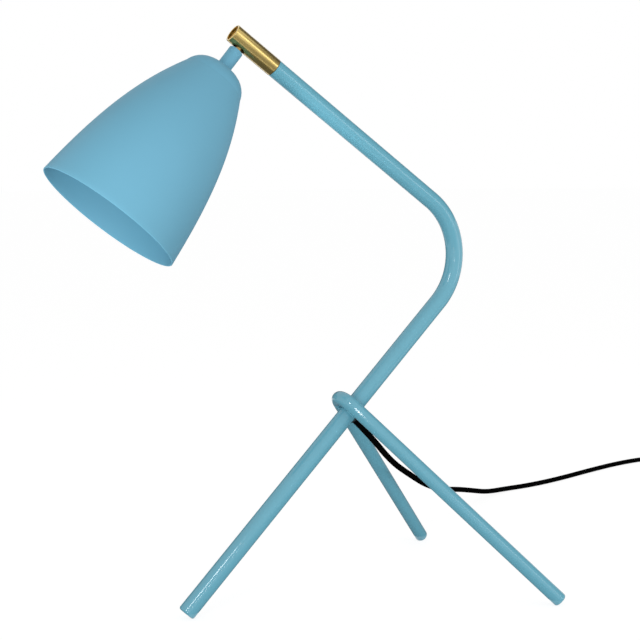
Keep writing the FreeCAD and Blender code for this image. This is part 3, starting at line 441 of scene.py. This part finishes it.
def gloss_paint():
    """Blue powder paint on the tubes: smooth and glossy, with a faint orange peel."""
    paint = Finish("tube_paint")
    paint.relief(paint.noise(200, detail=1.0), depth=0.00001, strength=0.02)
    return paint.give(Base_Color=paint.between(paint.noise(25), PAINT_DEEP, PAINT_BLUE),
                      Roughness=0.045 + paint.noise(140) * 0.03)


def weld_paint():
    """The tubes' paint over the weld, where the ripples of the bead show through."""
    paint = Finish("weld_paint")
    paint.relief(paint.noise(900), depth=0.0003, strength=0.7)
    return paint.give(Base_Color=paint.between(paint.noise(25), PAINT_DEEP, PAINT_BLUE), Roughness=0.10)


def matt_paint():
    """The same blue on the shade, much flatter, with a fine dry grain."""
    paint = Finish("shade_paint")
    paint.relief(paint.noise(1600, detail=3.0), depth=0.00003, strength=0.25)
    return paint.give(Base_Color=paint.between(paint.noise(14), SHADE_DEEP, SHADE_BLUE),
                      Roughness=0.52 + paint.noise(60) * 0.10, Specular_IOR_Level=0.3)


def brass():
    """Lacquered brass, turned: faint rings round the sleeve under a clear coat."""
    metal = Finish("lacquered_brass")
    along_arm = metal.where(scale=(1500, 30, 30), turn=(0, ARM_SLOPE, 0))
    rings = metal.noise(1.0, detail=1.0, where=along_arm)
    bloom = metal.noise(90)
    return metal.give(Base_Color=metal.between(bloom, (0.60, 0.43, 0.12), (0.70, 0.52, 0.17)),
                      Roughness=0.23 + rings * 0.06, Metallic=1.0, Coat_Weight=1.0, Coat_Roughness=0.08)


def plain_metal(name, dark, pale, roughness):
    """Bare or plated metal, a little clouded and unevenly polished."""
    metal = Finish(name)
    return metal.give(Base_Color=metal.between(metal.noise(300, detail=3.0), dark, pale),
                      Roughness=roughness + metal.noise(700) * 0.12, Metallic=1.0)


def plastic(name, dark, pale, roughness, grain=1500, depth=0.00002, shine=0.5):
    """Moulded plastic, rubber or glass with a fine grain."""
    body = Finish(name)
    body.relief(body.noise(grain), depth, strength=0.3)
    return body.give(Base_Color=body.between(body.noise(80), dark, pale),
                     Roughness=roughness + body.noise(200) * 0.08, Specular_IOR_Level=shine)


def grey(level):
    return (level, level, level)


TUBE_PAINT = gloss_paint()
WELD_PAINT = weld_paint()
SHADE_PAINT = matt_paint()
BRASS = brass()
STEEL = plain_metal("zinc_steel", (0.42, 0.43, 0.44), (0.60, 0.61, 0.62), 0.30)
PIN_METAL = plain_metal("nickel_plate", (0.60, 0.58, 0.54), (0.72, 0.70, 0.66), 0.16)
CONTACT_METAL = plain_metal("contact_brass", (0.62, 0.47, 0.20), (0.75, 0.58, 0.28), 0.28)
CAP_METAL = plain_metal("bulb_cap_metal", (0.66, 0.66, 0.67), (0.80, 0.80, 0.81), 0.24)
# Saddles: bronze darkened far below the ring's, painted shade for the dark bore and slot
SHADOW_DARKENED_BRONZE = plain_metal("shadow_darkened_bronze", (0.26, 0.17, 0.06), (0.34, 0.23, 0.09), 0.34)
RING_BRONZE = plain_metal("polished_bronze", (0.60, 0.44, 0.18), (0.74, 0.56, 0.26), 0.22)
# Ball and neck: brass darkened to a deep brown, painted shade so that the slot beside the stem looks
# shaded
SHADOW_DARKENED_BRASS = plain_metal("shadow_darkened_brass", (0.30, 0.21, 0.07), (0.38, 0.27, 0.10), 0.30)
RUBBER = plastic("black_rubber", grey(0.010), grey(0.022), 0.62)
SHEATH = plastic("cord_sheath_black", grey(0.001), grey(0.003), 0.60, grain=900, shine=0.0)
CORE = plastic("core_sheath", (0.16, 0.07, 0.03), (0.22, 0.10, 0.05), 0.40)
CASE = plastic("switch_case_black", (0.008, 0.008, 0.009), (0.016, 0.016, 0.017), 0.44,
               grain=2600, depth=0.00004)
ROCKER = plastic("rocker_black", (0.010, 0.010, 0.011), (0.016, 0.016, 0.018), 0.22)
HOLDER = plastic("holder_black", grey(0.010), grey(0.020), 0.40)
INSULATOR = plastic("bulb_insulator", grey(0.02), grey(0.05), 0.25)
OPAL = plastic("opal_glass", (0.84, 0.84, 0.81), (0.88, 0.88, 0.86), 0.16, grain=400, depth=0.000005)


# ---- Stand -------------------------------------------------------------------------------
def bent_tube():
    """Front leg, bend and arm, from the front plug to the sleeve."""
    start = FRONT_FOOT + LEG_DIR * PLUG_HEAD
    tube = new_ring("bent_tube", TUBE_R, start, LEG_DIR, sides=96)
    pull_run(BEND_START - start)
    turn_about(BEND_CENTRE, -Y, math.pi - LEG_SLOPE - ARM_SLOPE, steps=56)
    pull_run(ARM_END - BEND_END)
    outward(tube)
    modify(tube, "SOLIDIFY", thickness=TUBE_WALL, offset=-1)
    smooth(tube, angle=40)
    return finished(tube, "stand", "stand_paint", TUBE_PAINT, "main_tube")


def hairpin():
    """Near leg, the loop round the bent tube, and the far leg."""
    foot = rear_foot(-1) - leg_dir(-1) * PLUG_HEAD
    reach = HAIRPIN_BEND * math.cos(HAIRPIN_SPLAY)
    drop = HAIRPIN_DIR * (HAIRPIN_BEND * math.sin(HAIRPIN_SPLAY))
    near, far = (CROSS + Y * (side * reach) - drop for side in (-1, 1))
    tube = new_ring("hairpin_legs", HAIRPIN_R, foot, -leg_dir(-1), sides=80)
    pull_run(near - foot)
    turn_about(CROSS, Y.cross(HAIRPIN_DIR), math.pi - 2 * HAIRPIN_SPLAY, steps=48)
    pull_run(rear_foot(1) - leg_dir(1) * PLUG_HEAD - far)
    outward(tube)
    modify(tube, "SOLIDIFY", thickness=TUBE_WALL, offset=-1)
    smooth(tube, angle=40)
    return finished(tube, "stand", "stand_paint", TUBE_PAINT, "leg_hairpin")


def foot_plug(name, foot, leg_up, radius):
    """End plug with a rounded edge, cut flat where it stands on the floor."""
    shank = radius - TUBE_WALL
    outline = [(radius * PLUG_FACE, 0)]
    outline += round_off((radius - PLUG_ROUND, PLUG_ROUND), PLUG_ROUND, -90, 0, steps=8)
    outline += [(radius, PLUG_HEAD), (shank, PLUG_HEAD), (shank, PLUG_HEAD + PLUG_SHANK)]
    plug = lathe(name + "_skin", outline, closed=False)
    place(plug, foot, leg_up, leg_up.cross(Y).normalized())
    bpy.ops.object.mode_set(mode="EDIT")
    bpy.ops.mesh.select_all(action="SELECT")
    bpy.ops.mesh.bisect(plane_co=(0, 0, 0), plane_no=(0, 0, 1), clear_inner=True, use_fill=True)
    outward(plug)
    smooth(plug, angle=50)
    return finished(plug, "stand", "stand_paint", TUBE_PAINT, name)


bent_tube()
hairpin()
foot_plug("foot_plug_front", FRONT_FOOT, LEG_DIR, TUBE_R)
foot_plug("foot_plug_near", rear_foot(-1), -leg_dir(-1), HAIRPIN_R)
foot_plug("foot_plug_far", rear_foot(1), -leg_dir(1), HAIRPIN_R)
dressed("weld_beads", "stand", "stand_paint", WELD_PAINT, angle=60)
dressed("cable_grommet", "stand", "rubber", RUBBER)
dressed("arm_spigot", "stand", "steel", STEEL)
dressed("inner_flex", "stand", "cord_sheath", SHEATH)


# ---- Brass sleeve ------------------------------------------------------------------------
def brass_sleeve():
    """Turned tube with rounded ends, slotted below for the neck and drilled for the screw."""
    back = PIVOT_FROM_END - SLEEVE_LENGTH + SLEEVE_GAP
    edge_r = SLEEVE_R - SLEEVE_EDGE
    outline = [(SLEEVE_BORE, back)]
    outline += round_off((edge_r, back + SLEEVE_EDGE), SLEEVE_EDGE, -90, 0, steps=5)
    outline += round_off((edge_r, PIVOT_FROM_END - SLEEVE_EDGE), SLEEVE_EDGE, 0, 90, steps=5)
    outline += [(SLEEVE_BORE + MOUTH_EDGE, PIVOT_FROM_END), (SLEEVE_BORE, PIVOT_FROM_END - MOUTH_EDGE)]
    sleeve = lathe("sleeve_skin", outline, sides=160)
    for end in (-1, 1):
        slot_end = (SLEEVE_R, 0, end * SLOT_TRAVEL)
        cut(sleeve, cutter(64, SLOT_R, 2 * SLEEVE_R, slot_end, (0, deg(90), 0)))
    deselect()
    bpy.ops.mesh.primitive_cube_add(size=1, location=(SLEEVE_R, 0, 0))
    between_ends = bpy.context.object
    between_ends.scale = (2 * SLEEVE_R, 2 * SLOT_R, 2 * SLOT_TRAVEL)
    cut(sleeve, between_ends)
    screw_hole = (0, -SLEEVE_R, -SCREW_FROM_PIVOT)
    cut(sleeve, cutter(40, SCREW_R, SLEEVE_R, screw_hole, (deg(90), 0, 0)))
    place(sleeve, PIVOT, ARM_DIR, SLOT_DIR)
    smooth(sleeve)
    return finished(sleeve, "sleeve", "brass", BRASS, "brass_sleeve")


def grub_screw():
    """The small screw on the far side, with its hexagon socket."""
    screw = from_frame("sleeve_screw")
    outer_end = PIVOT - ARM_DIR * SCREW_FROM_PIVOT
    outer_end.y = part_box("sleeve_screw")[1][1]
    cut(screw, cutter(6, SOCKET_R, 2 * SOCKET_DEPTH, outer_end, (deg(90), 0, 0)))
    smooth(screw)
    return finished(screw, "sleeve", "steel", STEEL, "sleeve_screw")


brass_sleeve()
grub_screw()
# The saddles take the darkened bronze: painted shade in the bore and slot
dressed("saddle_inner", "sleeve", "bronze", SHADOW_DARKENED_BRONZE)
dressed("saddle_outer", "sleeve", "bronze", SHADOW_DARKENED_BRONZE)
dressed("retaining_ring", "sleeve", "bronze", RING_BRONZE)


# ---- Head --------------------------------------------------------------------------------
def shade_stem():
    """Tube over the neck, rounded at the end that faces the sleeve."""
    outline = [(STEM_BORE, STEM_START), (STEM_R - STEM_ROUND, STEM_START)]
    outline += round_off((STEM_R - STEM_ROUND, STEM_START + STEM_ROUND), STEM_ROUND, -90, 0, steps=10)
    outline += [(STEM_R, SHADE_TOP), (STEM_BORE, SHADE_TOP)]
    stem = lathe("stem_skin", outline)
    place(stem, PIVOT, HEAD_DIR, Y.cross(HEAD_DIR))
    smooth(stem)
    return finished(stem, "head", "shade_paint", SHADE_PAINT, "shade_stem")


def shade_outline(inset):
    """(radius, height above the rim) from the rim to the flat land at the top."""
    out = (math.cos(TOP_LEAN), math.sin(TOP_LEAN))
    centre = (SHOULDER_R - out[0] * SHOULDER_ROUND, SHOULDER_H - out[1] * SHOULDER_ROUND)
    bend_r = SHOULDER_ROUND - inset
    shoulder = (centre[0] + out[0] * bend_r, centre[1] + out[1] * bend_r)
    rim = (SHADE_RIM_R - inset, 0)
    low = (rim[0] - math.sin(RIM_LEAN) * RIM_PULL, math.cos(RIM_LEAN) * RIM_PULL)
    high = (shoulder[0] + out[1] * TOP_PULL, shoulder[1] - out[0] * TOP_PULL)
    reach, drop = centre[0] - LAND_R, SHADE_HEIGHT - centre[1]
    crown_r = (reach ** 2 + drop ** 2 - SHOULDER_ROUND ** 2) / (2 * (drop - SHOULDER_ROUND))
    crown = (LAND_R, SHADE_HEIGHT - crown_r)
    meet = math.degrees(math.atan2(centre[1] - crown[1], centre[0] - crown[0]))
    side = bezier([rim, low, high, shoulder], steps=48)
    shoulder_arc = round_off(centre, bend_r, math.degrees(TOP_LEAN), meet, steps=10)
    crown_arc = round_off(crown, crown_r - inset, meet, 90, steps=10)
    return side + shoulder_arc[1:] + crown_arc[1:]


def shade():
    """The spun bell: one outline at two offsets, with a rounded rim and a hole for the neck."""
    edge = SHADE_WALL / 2
    outline = round_off((SHADE_RIM_R - edge, edge), edge, -180, 0, steps=8)
    outline += [p for p in shade_outline(0) if p[1] > edge]
    outline += [(SHADE_HOLE, SHADE_HEIGHT), (SHADE_HOLE, SHADE_HEIGHT - SHADE_WALL)]
    outline += [p for p in reversed(shade_outline(SHADE_WALL)) if p[1] > edge]
    bell = lathe("bell_shade", outline, sides=160)
    place(bell, PIVOT + HEAD_DIR * (SHADE_TOP + SHADE_HEIGHT), -HEAD_DIR, Y.cross(HEAD_DIR))
    smooth(bell, angle=35)
    return finished(bell, "head", "shade_paint", SHADE_PAINT, "shade")


shade_stem()
shade()
for node, slot, material in (
        # Ball and neck in the darkened brass: painted shade in the slot
        ("swivel_ball", "brass", SHADOW_DARKENED_BRASS),
        ("threaded_neck", "brass", SHADOW_DARKENED_BRASS),
        ("shade_washer", "steel", STEEL),
        ("shade_nut", "steel", STEEL),
        ("holder_cap", "holder_plastic", HOLDER),
        ("holder_body", "holder_plastic", HOLDER),
        ("holder_terminals", "holder_plastic", HOLDER),
        ("holder_contacts", "holder_metal", CONTACT_METAL),
        ("bulb_cap", "bulb_metal", CAP_METAL),
        ("bulb_contact", "bulb_insulator", INSULATOR),
        ("bulb_glass", "bulb_opal", OPAL),
        ("head_wires", "wire_sheath", CORE)):
    dressed(node, "head", slot, material)


# ---- Cord --------------------------------------------------------------------------------
CORD_EXIT = FRONT_FOOT + LEG_DIR * CORD_HOLE + EXIT_DIR * (TUBE_R + GROMMET_LIP)
CORD_FREE = [
    CORD_EXIT,
    CORD_EXIT + EXIT_DIR * EXIT_RUN,
    (0.113, 0.016, 0.1145),
    (0.153, 0.048, 0.091),
    (0.201, 0.092, 0.065),
    (0.250, 0.137, 0.046),
    (0.299, 0.181, 0.031),
    (0.343, 0.218, 0.0165),
    (0.378, 0.241, 0.006),
    (0.413, 0.254, CORD_Z),
    (0.453, 0.256, CORD_Z),
    (0.505, 0.267, CORD_Z),
    (0.567, 0.286, CORD_Z),
    (0.627, 0.302, CORD_Z),
    (0.677, 0.308, CORD_Z),
    (0.710, 0.301, CORD_Z),
    (0.731, 0.278, CORD_Z + 0.001),
    (0.735, 0.250, SWITCH_Z),
    (0.732, 0.222, SWITCH_Z),
]
SWITCH_DIR = (Vector(CORD_FREE[-1]) - Vector(CORD_FREE[-2])).normalized()
SWITCH_OUT = Vector(CORD_FREE[-1]) + SWITCH_DIR * SWITCH_LENGTH
COIL_SIDE = Vector((SWITCH_DIR.y, -SWITCH_DIR.x, 0))


def ahead(distance, height, aside=0.0):
    """A point past the coil's start, along the way the cord is heading there."""
    p = SWITCH_OUT + SWITCH_DIR * (COIL_LEAD + distance) - COIL_SIDE * aside
    return Vector((p.x, p.y, height))


COIL_CENTRE = ahead(0, COIL_Z) + COIL_SIDE * COIL_OUTER


def coil_point(turn):
    """Centreline of the coil after that many turns: in on the floor, out on top of itself."""
    inner = COIL_OUTER - COIL_PITCH * COIL_TURNS
    radius = inner + COIL_PITCH * abs(turn - COIL_TURNS)
    climb = min(max((turn - COIL_TURNS) / COIL_CLIMB + 0.5, 0), 1)
    lift = COIL_PITCH * climb * climb * (3 - 2 * climb)
    angle = -2 * math.pi * turn
    out = COIL_SIDE * -math.cos(angle) - SWITCH_DIR * math.sin(angle)
    return COIL_CENTRE + out * radius + Z * lift


def cord(name, points, *nodes):
    """A round cord: one smooth line with the route's points as its control points."""
    line = bpy.data.curves.new(name, "CURVE")
    line.dimensions = "3D"
    line.bevel_depth = CORD_R
    line.bevel_resolution = 6
    line.resolution_u = 12
    line.use_fill_caps = True
    spline = line.splines.new("NURBS")
    spline.points.add(len(points) - 1)
    for control, p in zip(spline.points, points):
        control.co = (*p, 1)
    spline.order_u = 3
    spline.use_endpoint_u = True
    piece = bpy.data.objects.new(name, line)
    bpy.context.scene.collection.objects.link(piece)
    return finished(piece, "stand", "cord_sheath", SHEATH, *nodes)


free_cord = cord("cord_from_lamp", CORD_FREE, "cord_free")

# From the switch into the coil, and out of its top to the plug
coil = [coil_point(k / COIL_STEPS) for k in range(2 * COIL_TURNS * COIL_STEPS + 1)]
lead_in = [SWITCH_OUT, SWITCH_OUT + SWITCH_DIR * 0.018, ahead(-0.018, COIL_Z)]
tail = [ahead(0.020, COIL_LAYER),
        ahead(0.040, CORD_Z + 0.0015, 0.001),
        ahead(0.064, CORD_Z, 0.004),
        ahead(0.086, PLUG_Z, 0.006),
        ahead(0.1135, PLUG_Z, 0.006)]
plug_cord = cord("cord_to_plug", lead_in + coil + tail, "cord_mid", "cord_coil", "cord_tail")

switch = [dressed("switch_base", "stand", "switch_plastic", CASE),
          dressed("switch_cover", "stand", "switch_plastic", CASE),
          dressed("switch_screws", "stand", "steel", STEEL),
          dressed("switch_rocker", "rocker", "rocker_plastic", ROCKER)]


def plug_pins():
    """The two pins, bare at their tips and sleeved in black next to the plug."""
    pins = from_frame("plug_pins")
    tip = max(v.co.dot(SWITCH_DIR) for v in pins.data.vertices)
    edge = SWITCH_DIR * (tip - BARE_TIP)
    bpy.ops.object.mode_set(mode="EDIT")
    bpy.ops.mesh.select_all(action="SELECT")
    bpy.ops.mesh.bisect(plane_co=edge, plane_no=SWITCH_DIR)
    bpy.ops.object.mode_set(mode="OBJECT")
    finished(pins, "stand", "plug_metal", PIN_METAL, "plug_pins")
    pins.data.materials.append(CASE)
    for face in pins.data.polygons:
        face.material_index = int(face.center.dot(SWITCH_DIR) < tip - BARE_TIP)
    return pins


plug = [dressed("coil_tie", "stand", "tie_plastic", RUBBER),
        dressed("plug_body", "stand", "switch_plastic", CASE),
        plug_pins()]


# ---- Studio ------------------------------------------------------------------------------
# The floor is a lit sheet for one part and an even glow for the rest, GLOW_SHARE of it.
PURE_WHITE = (1, 1, 1, 1)
FLOOR_WHITE = (0.90, 0.90, 0.90, 1)
FLOOR_SIZE = 60
FLOOR_GLOW = 1.16
GLOW_SHARE = 0.75
AMBIENT = 0.55

# The camera stands where the photograph's did, fitted to the lamp's outline.
CAMERA_TARGET = Vector((0.02903, 0, 0.25518))
CAMERA_DISTANCE = 1.1647
CAMERA_TURN = deg(-27.177)
CAMERA_HEIGHT = deg(6.357)
CAMERA_LENS = 73.27


def studio_world():
    world = bpy.data.worlds.new("studio")
    bpy.context.scene.world = world
    world.use_nodes = True
    nodes = Nodes(world.node_tree)
    plain = nodes.tree.nodes["Background"]
    plain.inputs["Color"].default_value = PURE_WHITE
    plain.inputs["Strength"].default_value = AMBIENT
    white = nodes.node("ShaderNodeBackground", {}, {"Color": PURE_WHITE})
    nodes.show(Value(nodes, plain.outputs[0]), white)


def floor():
    """White to the eye but for a faint shadow: part lit sheet, part even glow."""
    deselect()
    bpy.ops.mesh.primitive_plane_add(size=FLOOR_SIZE, location=(0, 0, 0))
    sheet = bpy.context.object
    sheet.name = "floor"
    finish = Finish("floor_white")
    finish.give(Base_Color=FLOOR_WHITE, Roughness=0.9, Specular_IOR_Level=0.0)
    plain = Value(finish, finish.shader.outputs[0])
    glow = finish.node("ShaderNodeEmission", {}, {"Strength": FLOOR_GLOW})
    some_shadow = finish.node("ShaderNodeMixShader", {}, {0: GLOW_SHARE, 1: plain, 2: glow})
    finish.show(plain, some_shadow)
    sheet.data.materials.append(finish.material)


def lamp(name, place_at, aim, along, length, width, power, mirrored=True):
    """A soft box that faces aim, its long side as near as can be to the direction along."""
    light = bpy.data.lights.new(name, "AREA")
    light.shape = "RECTANGLE"
    light.size = length
    light.size_y = width
    light.energy = power
    back = (Vector(place_at) - Vector(aim)).normalized()
    side = (along - back * along.dot(back)).normalized()
    holder = bpy.data.objects.new(name, light)
    holder.matrix_world = Matrix.Translation(place_at) @ Matrix(
        (side, back.cross(side), back)).transposed().to_4x4()
    holder.visible_glossy = mirrored
    holder.visible_camera = False
    bpy.context.scene.collection.objects.link(holder)


def snoot(name, place_at, aim, spread, power):
    """A narrow soft beam that brightens one place and shows in no gloss."""
    light = bpy.data.lights.new(name, "SPOT")
    light.energy = power
    light.spot_size = deg(spread)
    light.spot_blend = 0.5
    light.shadow_soft_size = 0.05
    holder = bpy.data.objects.new(name, light)
    holder.location = place_at
    holder.rotation_euler = (Vector(place_at) - Vector(aim)).to_track_quat("Z", "Y").to_euler()
    holder.visible_glossy = holder.visible_camera = False
    bpy.context.scene.collection.objects.link(holder)


def flag(name, centre, facing, width, height, grey):
    """A grey card out of the picture, which only polished metal and gloss can see."""
    deselect()
    turn = Vector(facing).to_track_quat("Z", "Y").to_euler()
    bpy.ops.mesh.primitive_plane_add(size=1, location=centre, rotation=turn)
    card = bpy.context.object
    card.name = name
    card.scale = (width, height, 1)
    finish = Finish(name)
    finish.give(Base_Color=(0, 0, 0, 1), Emission_Color=PURE_WHITE, Emission_Strength=grey)
    card.data.materials.append(finish.material)
    card.visible_camera = card.visible_diffuse = card.visible_shadow = False
    card.visible_transmission = card.visible_volume_scatter = False


def camera():
    """The eye, turned from straight ahead and a little above its target."""
    level = math.cos(CAMERA_HEIGHT)
    back = Vector((math.sin(CAMERA_TURN) * level, -math.cos(CAMERA_TURN) * level, math.sin(CAMERA_HEIGHT)))
    data = bpy.data.cameras.new("camera")
    data.sensor_width = 36
    data.lens = CAMERA_LENS
    data.clip_start = 0.01
    eye = bpy.data.objects.new("camera", data)
    eye.location = CAMERA_TARGET + back * CAMERA_DISTANCE
    eye.rotation_euler = back.to_track_quat("Z", "Y").to_euler()
    bpy.context.scene.collection.objects.link(eye)
    bpy.context.scene.camera = eye


studio_world()
floor()

# Two soft boxes and a thin one that the paint and the brass mirror, then two that they don't.
lamp("key", place_at=(-1.21, -1.25, 1.09), aim=(-0.10, 0, 0.04), along=Vector((0.70, 0.03, 0.71)),
     length=0.40, width=0.30, power=5.2)
lamp("strip", place_at=(1.03, -1.65, 0.57), aim=(-0.06, 0, 0.47), along=ARM_DIR,
     length=1.7, width=0.28, power=3.3)
lamp("glint", place_at=(-0.605, -1.195, 0.20), aim=(0.056, -0.02, 0.174),
     along=Vector((-0.60, 0.32, -0.73)), length=0.80, width=0.02, power=1.0)
lamp("side_fill", place_at=(1.2, -1.0, 0.5), aim=(0, 0, 0.3), along=X,
     length=1.0, width=1.0, power=3.6, mirrored=False)
lamp("front_fill", place_at=(-0.90, -1.45, 0.10), aim=(-0.10, 0, 0.32), along=X,
     length=1.2, width=0.5, power=8.5, mirrored=False)
snoot("mouth_fill", place_at=(-0.66, -0.26, 0.03), aim=(-0.18, 0, 0.37), spread=24, power=11)

# Cards round the lamp, then three just over the floor, for what the sleeve mirrors below.
flag("flag_behind", (0.35, 1.3, 0.3), facing=(0, -1, 0), width=3.0, height=1.1, grey=0.14)
flag("flag_right", (1.3, 0.25, 1.15), facing=(-0.72, 0.0, -0.60), width=1.5, height=1.3, grey=0.12)
flag("flag_edge", (1.35, -0.75, 1.0), facing=(-0.80, 0.35, -0.45), width=1.5, height=0.8, grey=0.30)
flag("flag_front", (0.05, -1.35, 0.004), facing=Z, width=2.6, height=1.9, grey=0.34)
flag("flag_below", (-0.15, 0.15, 0.006), facing=Z, width=1.1, height=0.9, grey=0.12)
flag("flag_table", (0.95, 0.50, 0.005), facing=Z, width=1.1, height=1.2, grey=0.16)

camera()
bpy.context.scene.view_settings.view_transform = "Standard"
